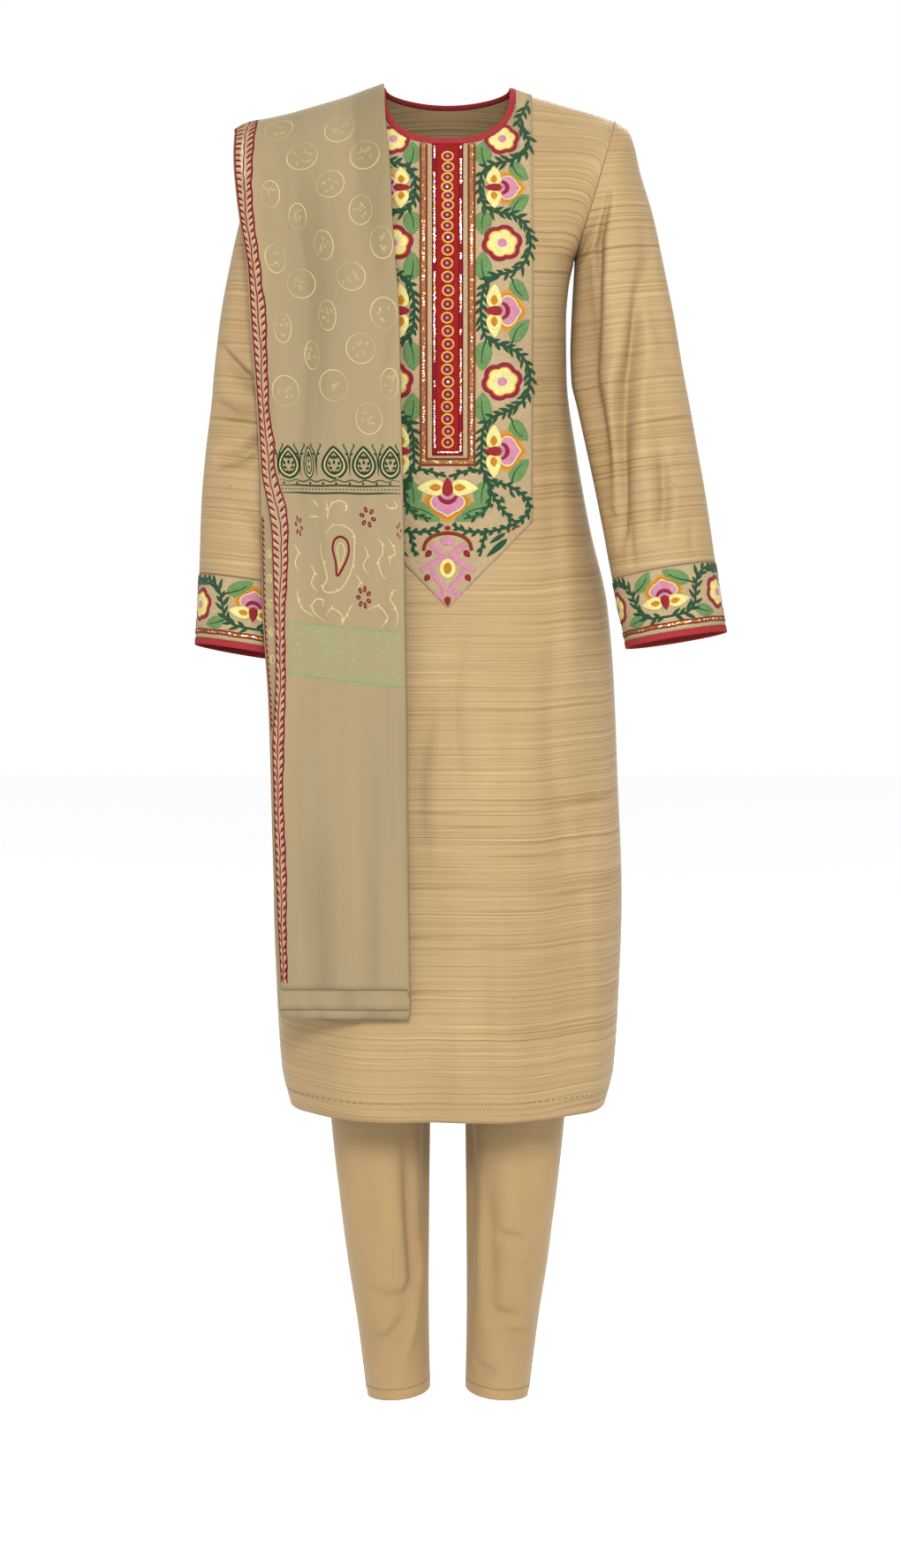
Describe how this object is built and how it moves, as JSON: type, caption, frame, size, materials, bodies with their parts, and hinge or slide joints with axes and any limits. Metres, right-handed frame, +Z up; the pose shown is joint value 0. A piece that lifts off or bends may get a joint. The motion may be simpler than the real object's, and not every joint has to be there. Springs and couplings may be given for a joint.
{
  "type": "salwar kameez suit",
  "caption": "Raw silk long-sleeved kameez with an embroidered neck panel and cuffs, tapered trousers and a folded printed dupatta over one shoulder",
  "frame": {"origin": "midway between the shoulders, at the height of the shoulder seams beside the neck, on the shoulder line", "axes": "+X to the wearer's left, +Y to the wearer's back, +Z up; the front faces -Y"},
  "size_m": [0.5564, 0.2881, 1.4179],
  "materials": {
    "raw_silk": "slubby raw silk with a soft sheen",
    "bib_cotton": "matt, embroidered in coloured thread",
    "red_binding": "bias-cut binding",
    "red_band": "matt band with ring embroidery",
    "braid": "woven braid",
    "trouser_satin": "smooth with a soft sheen",
    "chiffon": "sheer, printed, in folded layers"
  },
  "bodies": {
    "root": {"kameez_front": "raw_silk", "kameez_back": "raw_silk", "sleeve_left": "raw_silk", "sleeve_right": "raw_silk", "cuff_band_left": "bib_cotton", "cuff_band_right": "bib_cotton", "cuff_binding_left": "red_binding", "cuff_binding_right": "red_binding", "neck_binding": "red_binding", "neck_panel": "bib_cotton", "centre_band": "red_band", "band_border": "braid", "trouser_front_left": "trouser_satin", "trouser_front_right": "trouser_satin", "trouser_back_left": "trouser_satin", "trouser_back_right": "trouser_satin", "trouser_waistband": "trouser_satin", "dupatta_front": "chiffon", "dupatta_shoulder": "chiffon", "dupatta_back": "chiffon"}
  },
  "joints": []
}
